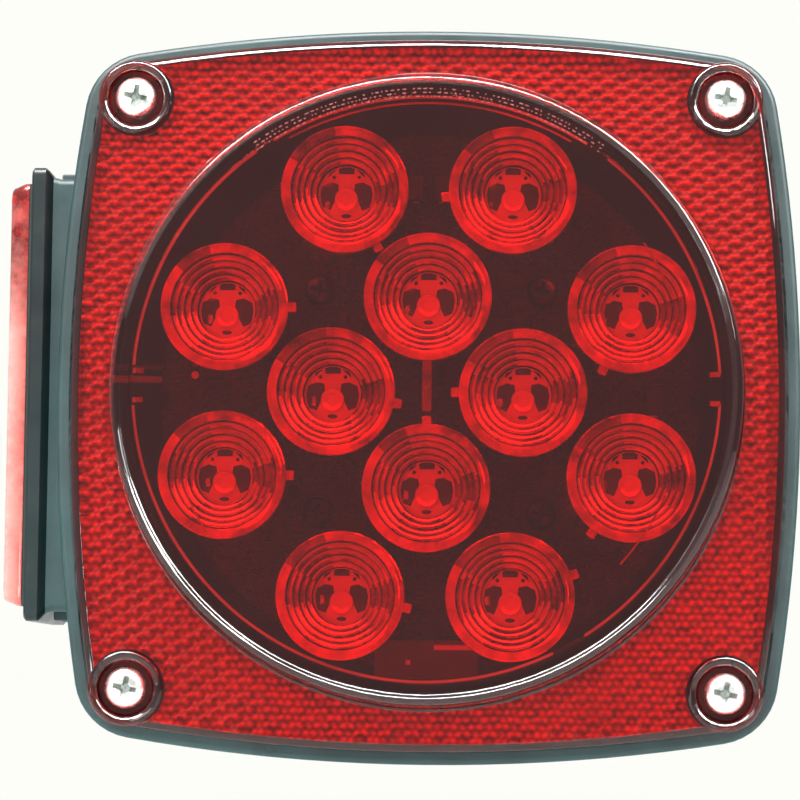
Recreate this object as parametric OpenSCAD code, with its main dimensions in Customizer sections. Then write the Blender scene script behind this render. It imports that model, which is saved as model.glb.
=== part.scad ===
// Combination tail light for a trailer, driver's side.
// +Z is up and the lens faces -Y. The origin is midway between the two mounting studs,
// on the rear face of the housing.

/* [Housing] */
// Width of the housing across its front rim
housing_w = 117; // [116:0.5:119]
// Height of the housing across its front rim
housing_h = 116; // [115:0.5:117]
// Depth from the rear face to the front of the rim
housing_depth = 40; // [39:0.5:42]
// Thickness of the moulded walls
wall = 2.5; // [2.2:0.1:2.8]
// Radius of the long bowed edges
edge_bow_r = 290; // [270:5:320]

/* [Lens] */
// Width of the lens flange
lens_w = 112; // [111:0.5:113]
// Height of the lens flange
lens_h = 112; // [111:0.5:112.5]
// Thickness of the lens flange
flange_t = 3.2; // [3:0.1:3.6]
// Outside radius of the round window at its foot
drum_r = 49.2; // [48.8:0.1:49.6]
// How far the round window stands in front of the housing rim
drum_h = 14; // [13:0.5:16]

/* [Light sources] */
// Radius of the circle of eight outer LEDs
outer_ring_r = 34.5; // [34.2:0.1:34.8]
// Radius of the circle of four inner LEDs
inner_ring_r = 15; // [14.8:0.1:15.2]
// Outside radius of one optic
optic_r = 10.1; // [9.8:0.1:10.2]
// Radius of the circuit board
board_r = 43.5; // [43:0.1:44]

/* [Side marker] */
// Height of the side marker lens
marker_h = 67.5; // [66:0.5:69]
// Depth of the side marker lens, front to rear
marker_d = 29.8; // [28:0.2:30.2]
// Distance from the centre of the lamp to the face of the side marker lens
marker_reach = 67; // [66.5:0.25:68]

/* [Mounting] */
// Distance between the two mounting studs
stud_spacing = 50.8; // [50.8:50.8]
// Radius of the plain grip at the foot of each stud
stud_grip_r = 3.175; // [3.175:3.175]
// Length of each stud behind the housing
stud_length = 19; // [18.5:0.5:22]
// Offset of each lens screw from the centre, across and up
screw_offset = 46.5; // [46.3:0.1:46.7]

/* [Hidden] */
optic_nodes = [for (i = [1 : 12]) str("optic_", i < 10 ? "0" : "", i)];
led_nodes = [for (i = [1 : 12]) str("led_", i < 10 ? "0" : "", i)];
$fn = 48;
cut = 1; // how far a cutter runs past the face it opens

// Outlines of the housing and lens, as half width, half height and corner radius
rim = [housing_w / 2, housing_h / 2, 10];
shell = [housing_w / 2 - 2.5, housing_h / 2 - 2.5, 10];
back_step = [housing_w / 2 - 4.5, housing_h / 2 - 4.5, 9];
cavity = [shell[0] - wall, shell[1] - wall, 7.5];
lens_edge = [lens_w / 2, lens_h / 2, 8.5];
rim_t = 5;
back_step_t = 2;

// Gasket groove in the rim
gasket_w = 1.9;
gasket_t = 1.8;
gasket_inset = 1.9;
gasket_play = 0.05;

// Screw bosses, with a blind pilot hole for each lens screw
boss_r = 4.6;
lens_screw_r = 1.7;
screw_play = 0.05;
lens_screw_length = 14;
screw_head_r = 3.2;
screw_head_h = 2.3;
lens_counterbore_r = 4.3;
lens_counterbore_depth = 1.5;

// Round window of the lens
drum_wall = 2.6;
drum_draft = 0.6;
drum_edge_r = 2.4;
lens_rib = [45.5, 0.7, 0.9];

// Circuit board and what stands on it
board_t = 1.6;
board_front = -26;
board_back = board_front + board_t;
board_screw_at = 18;
board_screw_r = 1.2;
standoff_r = 3.5;
key_rib_half = 1.2;
key_notch_half = 1.5;
key_notch_reach = 3.3;
key_reach = 42.2;
lead_hole = [-38, 5];
lead_gap = 0.95;
lead_r = 0.6;
lead_bend_r = 3;
lead_run_y = board_back + 2.4 + lead_bend_r;

// LEDs: a square body on four short leads, with a dome on its front
led_half = 3.8;
led_lead_h = 0.6;
led_lead_half = 0.3;
led_lead_at = 2.6;
led_top = 2.8;
led_dome_r = 2.4;

// Optics: height above the board, and the side that each moulding tab points to
optic_h = 18;
optic_lens_h = 14;
optic_tab_angles = [245, 186, 300, 0, 0, 350, 20, 235, 180, 270, 350, 90];
optic_tab_reach = 1.2;
centre_rib_reach = 8;

// Side marker neck, flange and pocket on the left wall
marker_mid_y = -22;
flange_x = -marker_reach + 3.5;
flange_t_marker = 3.2;
flange_margin = 2.4;
neck_inset = 1.6;
marker_seal_t = 0.5;
pocket_floor_x = -57.5;
pocket_h = marker_h - 3.5;
pocket_d = marker_d - 3.8;
marker_board_t = 1.4;
marker_led_z = 16;

// Licence lamp, which shines down through the underside
window_w = 32;
window_front_y = -34;
window_rear_y = -14;
window_seat_z = -50.6;
window_margin = 2.5;
window_play = 0.05;
hood_half_w = 8.2;
hood_top_z = -38.5;
hood_bottom_z = -44.6;
hood_depth = 6;
hood_wall = 0.8;

// Studs and their hardware, a 1/4-20 thread
grip_length = 3.4;
thread_r = 3.0;
stud_neck_r = 3.45;
stud_boss_r = 11;
stud_boss_y = -5.2;
stud_seal_t = 1;
stud_head_t = 2;
washer_y = 3.6;
washer_t = 1;
washer_r = 7;
washer_teeth = 14;
nut_gap = 0.05;
nut_flat = 11.11;
nut_t = 5.6;
running_play = 0.05;

// Outlet for the supply leads
grommet_z = -24;
grommet_hole_r = 5;
grommet_bore_r = 3;
grommet_flange_r = 8;
grommet_flange_t = 1.4;
grommet_boss_y = -5;

// ---- functions ----

// Centre of the corner arc that blends two bowed edges, for outline o
function corner_centre(o, bow) =
    let (dx = bow - o[0], dz = bow - o[1])
    let (half = norm([dx, dz]) / 2)
    let (rise = sqrt(pow(bow - o[2], 2) - half * half))
    [-dx / 2 + rise * dz / (2 * half), -dz / 2 + rise * dx / (2 * half)];

// One quarter of a bowed rectangle: half an edge, the corner arc, half the next edge
function quarter(o, bow, n = 6) =
    let (c = corner_centre(o, bow))
    let (low = atan2(c[1], c[0] + bow - o[0]))
    let (high = atan2(c[1] + bow - o[1], c[0]))
    concat(
        [for (i = [0 : n - 1]) let (a = low * i / n) [o[0] - bow + bow * cos(a), bow * sin(a)]],
        [for (i = [0 : n]) let (a = low + (high - low) * i / n) c + o[2] * [cos(a), sin(a)]],
        [for (i = [1 : n]) let (a = high + (90 - high) * i / n) [bow * cos(a), o[1] - bow + bow * sin(a)]]
    );

function flipped(points, sx, sz) = [for (p = points) [sx * p[0], sz * p[1]]];
function reversed(points) = [for (i = [len(points) - 1 : -1 : 0]) points[i]];
// The quarter without its first or last point, where the next quarter starts on the same one
function inner(points) = [for (i = [1 : len(points) - 2]) points[i]];

// The whole bowed rectangle, counter-clockwise
function pillow(o, bow) =
    let (q = quarter(o, bow))
    concat(
        q,
        reversed(flipped(inner(q), -1, 1)),
        [[-q[0][0], 0]],
        inner(flipped(q, -1, -1)),
        [[0, -o[1]]],
        reversed(flipped(inner(q), 1, -1))
    );

function inset(o, d) = [o[0] - d, o[1] - d, o[2] - d];

// Where LED i stands: eight on the outer circle, then four on the inner one
function led_at(i) =
    i < 8
    ? outer_ring_r * [cos(22.5 + 45 * i), sin(22.5 + 45 * i)]
    : inner_ring_r * [cos(90 * (i - 8)), sin(90 * (i - 8))];

// ---- shared shapes ----

// Extrudes a shape drawn in X and Z from y0 to y1
module slab(y0, y1) {
    translate([0, y1, 0])
        rotate([90, 0, 0])
            linear_extrude(y1 - y0)
                children();
}

// A round bar along Y
module rod(r, y0, y1, at = [0, 0]) {
    translate([at[0], y1, at[1]])
        rotate([90, 0, 0])
            cylinder(r = r, h = y1 - y0);
}

// A box from its low corner to its high corner
module block(low, high) {
    translate(low)
        cube(high - low);
}

// Turns a radius and height profile about Y, with heights measured towards the front
module turned(base_y, at = [0, 0]) {
    translate([at[0], base_y, at[1]])
        rotate([90, 0, 0])
            rotate_extrude()
                children();
}

module at_four(offset) {
    for (sx = [-1, 1])
        for (sz = [-1, 1])
            translate([sx * offset, 0, sz * offset])
                children();
}

// ---- housing ----

module marker_neck() {
    half = marker_h / 2 + flange_margin;
    slab(marker_mid_y - marker_d / 2 - 1, marker_mid_y + marker_d / 2 + 1)
        polygon([
            [flange_x, -half],
            [flange_x + flange_t_marker - 0.8, -half],
            [flange_x + flange_t_marker + 0.8, -half + neck_inset],
            [-shell[0] + 4, -half + neck_inset],
            [-shell[0] + 4, half - neck_inset],
            [flange_x + flange_t_marker + 0.8, half - neck_inset],
            [flange_x + flange_t_marker - 0.8, half],
            [flange_x, half]
        ]);
}

module housing_solid() {
    slab(-housing_depth, -housing_depth + rim_t)
        polygon(pillow(rim, edge_bow_r));
    slab(-housing_depth + rim_t, -back_step_t)
        polygon(pillow(shell, edge_bow_r));
    slab(-back_step_t, 0)
        polygon(pillow(back_step, edge_bow_r));
    marker_neck();
}

module housing_fittings() {
    at_four(screw_offset)
        rod(boss_r, -housing_depth, -wall);
    at_four(board_screw_at)
        rod(standoff_r, board_back, -wall);
    for (side = [-1, 1]) {
        rod(stud_boss_r, stud_boss_y, -wall, [side * stud_spacing / 2, 0]);
        block(
            [side > 0 ? key_reach : -cavity[0] - cut, board_front - 2, -key_rib_half],
            [side > 0 ? cavity[0] + cut : -key_reach, -wall, key_rib_half]
        );
    }
    rod(grommet_flange_r + 2, grommet_boss_y, -wall, [0, grommet_z]);
    block(
        [-window_w / 2 - 4, window_front_y - 4, -cavity[1] - cut],
        [window_w / 2 + 4, window_rear_y + 4, window_seat_z]
    );
}

module gasket_outline(extra) {
    difference() {
        polygon(pillow(inset(rim, gasket_inset - extra), edge_bow_r));
        polygon(pillow(inset(rim, gasket_inset + gasket_w + extra), edge_bow_r));
    }
}

module housing() {
    color("#4a5f62")
        difference() {
            union() {
                difference() {
                    housing_solid();
                    slab(-housing_depth - cut, -wall)
                        polygon(pillow(cavity, edge_bow_r));
                }
                housing_fittings();
            }
            at_four(screw_offset)
                rod(lens_screw_r + screw_play, -housing_depth - cut, -housing_depth + lens_screw_length);
            at_four(board_screw_at)
                rod(board_screw_r + screw_play, board_back - cut, board_back + 12);
            for (side = [-1, 1])
                rod(stud_neck_r + running_play, stud_boss_y - cut, cut, [side * stud_spacing / 2, 0]);
            rod(grommet_hole_r, grommet_boss_y - cut, cut, [0, grommet_z]);
            rod(grommet_flange_r + 0.3, -grommet_flange_t - 0.2, cut, [0, grommet_z]);
            slab(-housing_depth - cut, -housing_depth + gasket_t)
                gasket_outline(gasket_play);
            block(
                [-window_w / 2, window_front_y, -housing_h / 2 - cut],
                [window_w / 2, window_rear_y, window_seat_z + cut]
            );
            block(
                [flange_x - cut, marker_mid_y - pocket_d / 2, -pocket_h / 2],
                [pocket_floor_x, marker_mid_y + pocket_d / 2, pocket_h / 2]
            );
            translate([pocket_floor_x - cut, lead_run_y, lead_hole[1]])
                rotate([0, 90, 0])
                    cylinder(r = 2.4, h = 12);
        }
}

// ---- lens ----

module drum_profile() {
    top = drum_h;
    top_r = drum_r - drum_draft;
    polygon(concat(
        [[0, 0], [drum_r, 0], [drum_r, flange_t]],
        [
            for (a = [0 : 15 : 90])
                [top_r - drum_edge_r, top - drum_edge_r] + drum_edge_r * [cos(a), sin(a)]
        ],
        [[0, top]]
    ));
}

module drum_hollow_profile() {
    inner_foot = drum_r - drum_wall;
    polygon([
        [0, -cut],
        [inner_foot, -cut],
        [inner_foot, flange_t],
        [inner_foot - drum_draft, drum_h - drum_wall],
        [0, drum_h - drum_wall]
    ]);
}

module main_lens() {
    color("#a81e1e", 0.7)
        difference() {
            union() {
                difference() {
                    union() {
                        slab(-housing_depth - flange_t, -housing_depth)
                            polygon(pillow(lens_edge, edge_bow_r));
                        turned(-housing_depth)
                            drum_profile();
                    }
                    turned(-housing_depth)
                        drum_hollow_profile();
                }
                turned(-housing_depth)
                    translate([lens_rib[0] - lens_rib[1], drum_h - drum_wall - lens_rib[2]])
                        square([lens_rib[1], lens_rib[2] + 0.2]);
            }
            at_four(screw_offset) {
                rod(lens_screw_r + 0.3, -housing_depth - flange_t - cut, -housing_depth + cut);
                rod(
                    lens_counterbore_r,
                    -housing_depth - flange_t - cut,
                    -housing_depth - flange_t + lens_counterbore_depth
                );
            }
        }
}

module lens_gasket() {
    color("#1c1c1c")
        slab(-housing_depth, -housing_depth + gasket_t)
            gasket_outline(0);
}

// A pan-head screw: shank from the seat towards the rear, cross recess in the head
module pan_screw(shank_r, length, head_r, head_h) {
    difference() {
        union() {
            rotate([90, 0, 0])
                rotate_extrude()
                    polygon([
                        [0, 0],
                        [head_r, 0],
                        [head_r, head_h * 0.45],
                        [head_r * 0.86, head_h * 0.82],
                        [head_r * 0.55, head_h],
                        [0, head_h]
                    ]);
            rod(shank_r, 0, length - shank_r);
            rotate([-90, 0, 0])
                translate([0, 0, length - shank_r])
                    cylinder(r1 = shank_r, r2 = 0.3, h = shank_r);
        }
        for (turn = [0, 90])
            rotate([0, turn, 0])
                block(
                    [-head_r * 0.55, -head_h - cut, -head_r * 0.12],
                    [head_r * 0.55, -head_h * 0.45, head_r * 0.12]
                );
    }
}

module lens_screws() {
    seat = -housing_depth - flange_t + lens_counterbore_depth;
    color("#c9cdc9")
        at_four(screw_offset)
            translate([0, seat, 0])
                pan_screw(lens_screw_r, lens_screw_length, screw_head_r, screw_head_h);
}

// ---- board ----

module circuit_board() {
    color("#1f2b22")
        difference() {
            rod(board_r, board_front, board_back);
            at_four(board_screw_at)
                rod(board_screw_r + 0.3, board_front - cut, board_back + cut);
            for (side = [-1, 1])
                translate([side * (key_reach + 3), 0, 0])
                    block(
                        [-key_notch_reach, board_front - cut, -key_notch_half],
                        [key_notch_reach, board_back + cut, key_notch_half]
                    );
            for (side = [-1, 1])
                rod(lead_r + 0.1, board_front - cut, board_back + cut, lead_hole + [0, side * lead_gap]);
        }
}

module board_screws() {
    color("#b9bcb8")
        at_four(board_screw_at)
            translate([0, board_front, 0])
                pan_screw(board_screw_r, 12, 2.5, 1.7);
}

// Half of a slightly flattened dome, from its axis outwards
module dome_profile(r) {
    polygon(concat([[0, 0]], [for (a = [0 : 15 : 90]) r * [cos(a), 0.85 * sin(a)]]));
}

// A square LED whose body stands clear of the board on four short leads
module led(i) {
    at = led_at(i);
    color("#e8d9b0")
        union() {
            block(
                [at[0] - led_half, board_front - led_top, at[1] - led_half],
                [at[0] + led_half, board_front - led_lead_h, at[1] + led_half]
            );
            for (sx = [-1, 1])
                for (sz = [-1, 1])
                    translate([at[0] + sx * led_lead_at, board_front, at[1] + sz * led_lead_at])
                        block(
                            [-led_lead_half, -led_lead_h - 0.3, -led_lead_half],
                            [led_lead_half, 0, led_lead_half]
                        );
            turned(board_front - led_top, at)
                dome_profile(led_dome_r);
        }
}

// Cup-shaped optic: a cone that stands on the board round its LED, stepped on its front
module optic_profile() {
    polygon([
        [5.5, 0],
        [6.3, 0],
        [optic_r, optic_h - 2.4],
        [optic_r, optic_h],
        [8.1, optic_h],
        [7.9, optic_h - 0.8],
        [7.4, optic_h - 0.8],
        [7.2, optic_h - 1.6],
        [6.0, optic_h - 1.6],
        [5.8, optic_h - 2.6],
        [4.6, optic_h - 2.6],
        [4.6, optic_lens_h - 1],
        [2.4, optic_lens_h - 0.2],
        [0, optic_lens_h],
        [0, 5.8],
        [5.5, 5.8]
    ]);
}

module optic(i) {
    at = led_at(i);
    tab_reach = i == 9 ? centre_rib_reach : optic_tab_reach;
    color("#d93a30", 0.85)
        union() {
            turned(board_front, at)
                optic_profile();
            translate([at[0], board_front - optic_h, at[1]])
                rotate([0, -optic_tab_angles[i], 0])
                    block([optic_r - 1, 0.2, -0.7], [optic_r + tab_reach, 2.2, 0.7]);
        }
}

module chip(size, at, y, front = true) {
    low = front ? y - size[2] : y;
    block(
        [at[0] - size[0] / 2, low, at[1] - size[1] / 2],
        [at[0] + size[0] / 2, low + size[2], at[1] + size[1] / 2]
    );
}

module board_resistors() {
    color("#3a3a38")
        for (sx = [-1, 1])
            for (z = [-17.6, -12.4, 13.4, 19.8])
                chip([1.2, 3.2, 0.6], [sx * 14.2, z], board_front);
}

module board_diodes() {
    color("#23211f")
        for (at = [[1.8, 34.6], [-2.6, 34.6], [36.2, 0]])
            chip([2.4, 4.4, 2], at, board_front);
}

module current_regulator() {
    color("#2a2a2a")
        union() {
            chip([6.6, 6.2, 2.3], [0, 8], board_back, false);
            for (x = [-2.3, 0, 2.3])
                block([x - 0.4, board_back, 4], [x + 0.4, board_back + 0.6, 5]);
        }
}

module smoothing_capacitor() {
    color("#38506b")
        rod(4, board_back, board_back + 8, [0, 24]);
}

module supply_terminals() {
    color("#c8b268")
        for (x = [-5, 0, 5])
            translate([x, board_back, -12])
                block([-0.6, 0, -0.6], [0.6, 5, 0.6]);
}

// ---- licence lamp ----

module licence_hood() {
    color("#5b2a26")
        difference() {
            block(
                [-hood_half_w, board_front - hood_depth, hood_bottom_z],
                [hood_half_w, board_front, hood_top_z]
            );
            block(
                [-hood_half_w + hood_wall, board_front - hood_depth + hood_wall, hood_bottom_z - cut],
                [hood_half_w - hood_wall, board_front + cut, hood_top_z - hood_wall]
            );
        }
}

module licence_leds() {
    color("#efe6c4")
        for (x = [-3.8, 3.8])
            chip([3.5, 2.4, 1.6], [x, -41], board_front);
}

module licence_window() {
    half = window_w / 2;
    color("#e6edf0", 0.5)
        union() {
            block(
                [-half + window_play, window_front_y + window_play, -54.2],
                [half - window_play, window_rear_y - window_play, window_seat_z]
            );
            block(
                [-half - window_margin, window_front_y - window_margin, window_seat_z],
                [half + window_margin, window_rear_y + window_margin, window_seat_z + 1.4]
            );
        }
}

// ---- side marker ----

module marker_frame(x0, x1, half_z, half_y) {
    block([x0, marker_mid_y - half_y, -half_z], [x1, marker_mid_y + half_y, half_z]);
}

module marker_lens() {
    color("#c4312c", 0.7)
        difference() {
            marker_frame(-marker_reach, flange_x - marker_seal_t, marker_h / 2, marker_d / 2);
            marker_frame(-marker_reach + 1.6, flange_x + cut, pocket_h / 2 - 0.6, pocket_d / 2 - 0.6);
        }
}

module marker_gasket() {
    color("#1c1c1c")
        difference() {
            marker_frame(flange_x - marker_seal_t, flange_x, marker_h / 2 - 0.2, marker_d / 2 - 0.2);
            marker_frame(flange_x - marker_seal_t - cut, flange_x + cut, pocket_h / 2, pocket_d / 2);
        }
}

module marker_board() {
    color("#1f2b22")
        marker_frame(pocket_floor_x - marker_board_t, pocket_floor_x, pocket_h / 2 - 1.5, pocket_d / 2 - 1);
}

module marker_leds() {
    x = pocket_floor_x - marker_board_t;
    color("#e8d9b0")
        for (side = [-1, 1])
            translate([x, marker_mid_y, side * marker_led_z])
                union() {
                    block([-1.5, -2.5, -2.5], [0, 2.5, 2.5]);
                    rotate([0, -90, 0])
                        translate([0, 0, 1.5])
                            rotate_extrude()
                                dome_profile(1.9);
                }
}

// A lead that leaves the board rearwards, bends and runs to the side marker board
module marker_lead(side) {
    z = lead_hole[1] + side * lead_gap;
    rod(lead_r, board_front - 0.6, board_back + 2.4, [lead_hole[0], z]);
    translate([lead_hole[0] - lead_bend_r, board_back + 2.4, z])
        rotate_extrude(angle = 90)
            translate([lead_bend_r, 0])
                circle(r = lead_r);
    translate([pocket_floor_x, lead_run_y, z])
        rotate([0, 90, 0])
            cylinder(r = lead_r, h = lead_hole[0] - lead_bend_r - pocket_floor_x);
}

module marker_lead_positive() {
    color("#7a4a2a")
        marker_lead(1);
}

module marker_lead_ground() {
    color("#e8e8e4")
        marker_lead(-1);
}

// ---- mounting ----

module stud(side) {
    seal_y = stud_boss_y - stud_seal_t;
    at = [side * stud_spacing / 2, 0];
    color("#c2c4bc")
        union() {
            rod(7, seal_y - stud_head_t, seal_y, at);
            rod(stud_neck_r, seal_y, 0, at);
            rod(stud_grip_r, 0, grip_length, at);
            rod(thread_r, grip_length, stud_length - 0.8, at);
            translate([at[0], stud_length - 0.8, 0])
                rotate([-90, 0, 0])
                    cylinder(r1 = thread_r, r2 = thread_r - 0.8, h = 0.8);
        }
}

module stud_seals() {
    color("#1c1c1c")
        for (side = [-1, 1])
            difference() {
                rod(6.5, stud_boss_y - stud_seal_t, stud_boss_y, [side * stud_spacing / 2, 0]);
                rod(
                    stud_neck_r + running_play,
                    stud_boss_y - stud_seal_t - cut,
                    stud_boss_y + cut,
                    [side * stud_spacing / 2, 0]
                );
            }
}

module washer(side) {
    color("#b4b6ae")
        translate([side * stud_spacing / 2, washer_y, 0])
            difference() {
                rod(washer_r, 0, washer_t);
                rod(thread_r + running_play, -cut, washer_t + cut);
                for (i = [0 : washer_teeth - 1])
                    rotate([0, 360 * i / washer_teeth, 0])
                        block([washer_r - 1.3, -cut, -0.45], [washer_r + cut, washer_t + cut, 0.45]);
            }
}

module nut(side) {
    low = washer_y + washer_t + nut_gap;
    color("#c2c4bc")
        translate([side * stud_spacing / 2, low, 0])
            difference() {
                rotate([-90, 0, 0])
                    cylinder(r = nut_flat / 2 / cos(30), h = nut_t, $fn = 6);
                rod(thread_r + running_play, -cut, nut_t + cut);
            }
}

module wire_grommet() {
    at = [0, grommet_z];
    color("#1c1c1c")
        difference() {
            union() {
                rod(grommet_flange_r, -grommet_flange_t - 0.2, -0.2, at);
                rod(grommet_hole_r - 0.05, grommet_boss_y, -grommet_flange_t - 0.2, at);
                rod(grommet_flange_r - 0.8, grommet_boss_y - 1.6, grommet_boss_y, at);
            }
            rod(grommet_bore_r, grommet_boss_y - 1.6 - cut, cut, at);
        }
}

housing();
main_lens();
lens_gasket();
lens_screws();
circuit_board();
board_screws();
for (i = [0 : 11])
    led(i);
for (i = [0 : 11])
    optic(i);
board_resistors();
board_diodes();
current_regulator();
smoothing_capacitor();
supply_terminals();
licence_hood();
licence_leds();
licence_window();
marker_lens();
marker_gasket();
marker_board();
marker_leds();
marker_lead_positive();
marker_lead_ground();
stud(-1);  // stud_left
stud(1);  // stud_right
stud_seals();
washer(-1);  // washer_left
washer(1);  // washer_right
nut(-1);  // nut_left
nut(1);  // nut_right
wire_grommet();
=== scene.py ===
import math
import random

import bmesh
import bpy
from mathutils import Matrix, Vector


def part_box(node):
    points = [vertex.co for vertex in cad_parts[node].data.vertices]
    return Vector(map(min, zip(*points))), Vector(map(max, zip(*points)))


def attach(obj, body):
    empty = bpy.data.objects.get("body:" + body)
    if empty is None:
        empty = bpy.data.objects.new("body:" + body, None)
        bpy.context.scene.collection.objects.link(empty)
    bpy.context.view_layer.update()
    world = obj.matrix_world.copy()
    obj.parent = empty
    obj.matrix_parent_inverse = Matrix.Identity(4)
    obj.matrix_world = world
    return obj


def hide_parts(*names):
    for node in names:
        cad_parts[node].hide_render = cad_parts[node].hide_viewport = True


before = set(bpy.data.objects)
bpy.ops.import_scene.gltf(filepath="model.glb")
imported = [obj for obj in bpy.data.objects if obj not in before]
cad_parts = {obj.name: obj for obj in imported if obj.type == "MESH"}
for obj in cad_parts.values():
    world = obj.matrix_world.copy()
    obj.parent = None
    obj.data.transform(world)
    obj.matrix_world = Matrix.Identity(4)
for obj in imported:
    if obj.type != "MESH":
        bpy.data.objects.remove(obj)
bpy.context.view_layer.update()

# The lamp's looks. Lengths below are millimetres in the row's frame; piece() turns them to metres.
TAU = 2 * math.pi
rng = random.Random(7)


# ---------------------------------------------------------------- helpers: outlines

def bowed(hw, hh, r, bow=290.0, ne=8, nc=8):
    """A rectangle with slightly bowed sides and round corners, counter-clockwise, as (x, z)."""
    dx, dz = bow - hw, bow - hh
    half = math.hypot(dx, dz) / 2
    rise = math.sqrt((bow - r) ** 2 - half * half)
    cx, cz = -dx / 2 + rise * dz / (2 * half), -dz / 2 + rise * dx / (2 * half)
    low = math.atan2(cz, cx + bow - hw)
    high = math.atan2(cz + bow - hh, cx)
    q = [(hw - bow + bow * math.cos(low * i / ne), bow * math.sin(low * i / ne)) for i in range(ne)]
    for i in range(nc + 1):
        a = low + (high - low) * i / nc
        q.append((cx + r * math.cos(a), cz + r * math.sin(a)))
    for i in range(1, ne + 1):
        a = high + (math.pi / 2 - high) * i / ne
        q.append((bow * math.cos(a), hh - bow + bow * math.sin(a)))
    inner = q[1:-1]
    return (
        q
        + [(-x, z) for x, z in reversed(inner)]
        + [(-q[0][0], 0.0)]
        + [(-x, -z) for x, z in inner]
        + [(0.0, -hh)]
        + [(x, -z) for x, z in reversed(inner)]
    )


def grown(o, d):
    """A (half width, half height, corner radius) outline moved out by d."""
    return (o[0] + d, o[1] + d, max(o[2] + d, 0.6))


# ---------------------------------------------------------------- helpers: solids in mm

def loft(bm, rings):
    """Skins equal-length rings of 3-D points, with a flat cap on each end."""
    rows = [[bm.verts.new(p) for p in ring] for ring in rings]
    n = len(rows[0])
    for a, b in zip(rows, rows[1:]):
        for k in range(n):
            bm.faces.new((a[k], a[(k + 1) % n], b[(k + 1) % n], b[k]))
    for row in (rows[0], rows[-1]):
        bm.faces.new(row)
    return bm


def slab_loft(base, steps, ne=8, nc=8):
    """A bowed-rectangle solid from (outset, y) steps."""
    return loft(bmesh.new(), [[(x, y, z) for x, z in bowed(*grown(base, d), ne=ne, nc=nc)] for d, y in steps])


def lathe(bm, profile, at=(0, 0), base=0.0, n=64, mats=None, wrap=True):
    """Turns an (r, h) profile about an axis along Y; h runs from base towards the lens side (-Y)."""
    rings = []
    for r, h in profile:
        if r < 1e-6:
            rings.append([bm.verts.new((at[0], base - h, at[1]))])
        else:
            rings.append([
                bm.verts.new((at[0] + r * math.cos(TAU * k / n), base - h, at[1] + r * math.sin(TAU * k / n)))
                for k in range(n)
            ])
    m = len(profile)
    for i in range(m if wrap else m - 1):
        a, b = rings[i], rings[(i + 1) % m]
        if len(a) == 1 and len(b) == 1:
            continue
        for k in range(n):
            k2 = (k + 1) % n
            if len(a) == 1:
                f = bm.faces.new((a[0], b[k], b[k2]))
            elif len(b) == 1:
                f = bm.faces.new((a[k], b[0], a[k2]))
            else:
                f = bm.faces.new((a[k], b[k], b[k2], a[k2]))
            if mats:
                f.material_index = mats(i, 360.0 * (k + 0.5) / n) if callable(mats) else mats[i]
    return bm


def round_box(bm, low, high, r=0.3, seg=2, mat=0):
    """A box with edges rounded by r."""
    made = bmesh.ops.create_cube(bm, size=1.0)
    vs = made["verts"]
    for v in vs:
        v.co = Vector([(lo + hi) / 2 + c * (hi - lo) for lo, hi, c in zip(low, high, v.co)])
    faces = {f for v in vs for f in v.link_faces}
    for f in faces:
        f.material_index = mat
    edges = list({e for v in vs for e in v.link_edges})
    bmesh.ops.bevel(
        bm, geom=edges, offset=r, segments=seg, profile=0.5, affect="EDGES", clamp_overlap=True, material=-1
    )
    return bm


def turned(*args):
    """A lathe() in a bmesh of its own."""
    return lathe(bmesh.new(), *args)


def block(*args):
    """A round_box() in a bmesh of its own."""
    return round_box(bmesh.new(), *args)


def arc_rod(bm, radius, a0, a1, w, h, y, steps=None):
    """A low rounded bead along an arc in the lens plane, standing from y towards -Y by h (h < 0 for +Y)."""
    steps = steps or max(2, int(abs(a1 - a0) / 2))
    prof = [(-w / 2, 0), (-w / 2, h * 0.6), (-w / 4, h), (w / 4, h), (w / 2, h * 0.6), (w / 2, 0)]
    rings = []
    for i in range(steps + 1):
        a = math.radians(a0 + (a1 - a0) * i / steps)
        rings.append([((radius + p) * math.cos(a), y - q, (radius + p) * math.sin(a)) for p, q in prof])
    loft(bm, rings)


def add_object(name, data):
    o = bpy.data.objects.new(name, data)
    bpy.context.scene.collection.objects.link(o)
    return o


def temp(bm):
    """A throw-away object for a boolean."""
    bmesh.ops.recalc_face_normals(bm, faces=bm.faces)
    me = bpy.data.meshes.new("cutter")
    bm.to_mesh(me)
    bm.free()
    return add_object("cutter", me)


def combine(base, union=(), cut=(), meet=()):
    """Applies exact booleans and returns a bmesh of the result."""
    tools = []
    for op, bms in (("UNION", union), ("DIFFERENCE", cut), ("INTERSECT", meet)):
        for b in bms:
            t = temp(b)
            m = base.modifiers.new("b", "BOOLEAN")
            m.operation, m.solver, m.object = op, "EXACT", t
            tools.append(t)
    bpy.context.view_layer.update()
    dg = bpy.context.evaluated_depsgraph_get()
    me = bpy.data.meshes.new_from_object(base.evaluated_get(dg))
    bm = bmesh.new()
    bm.from_mesh(me)
    for o in tools + [base]:
        old = o.data
        bpy.data.objects.remove(o)
        bpy.data.meshes.remove(old)
    bpy.data.meshes.remove(me)
    bmesh.ops.dissolve_degenerate(bm, dist=1e-4, edges=bm.edges)
    return bm


def piece(name, bm, mats, body="lamp", replaces=(), angle=34, normals=True):
    """Finishes a bmesh in mm as one visual piece; edges sharper than angle (degrees) stay sharp."""
    if normals:
        bmesh.ops.recalc_face_normals(bm, faces=bm.faces)
    bm.transform(Matrix.Scale(0.001, 4))
    me = bpy.data.meshes.new(name)
    bm.to_mesh(me)
    bm.free()
    for m in mats:
        me.materials.append(m)
    me.polygons.foreach_set("use_smooth", [True] * len(me.polygons))
    me.set_sharp_from_angle(angle=math.radians(angle))
    o = add_object(name, me)
    wn = o.modifiers.new("weighted", "WEIGHTED_NORMAL")
    wn.weight = 100
    wn.keep_sharp = True
    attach(o, body)
    if replaces:
        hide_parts(*replaces)
    return o


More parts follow.
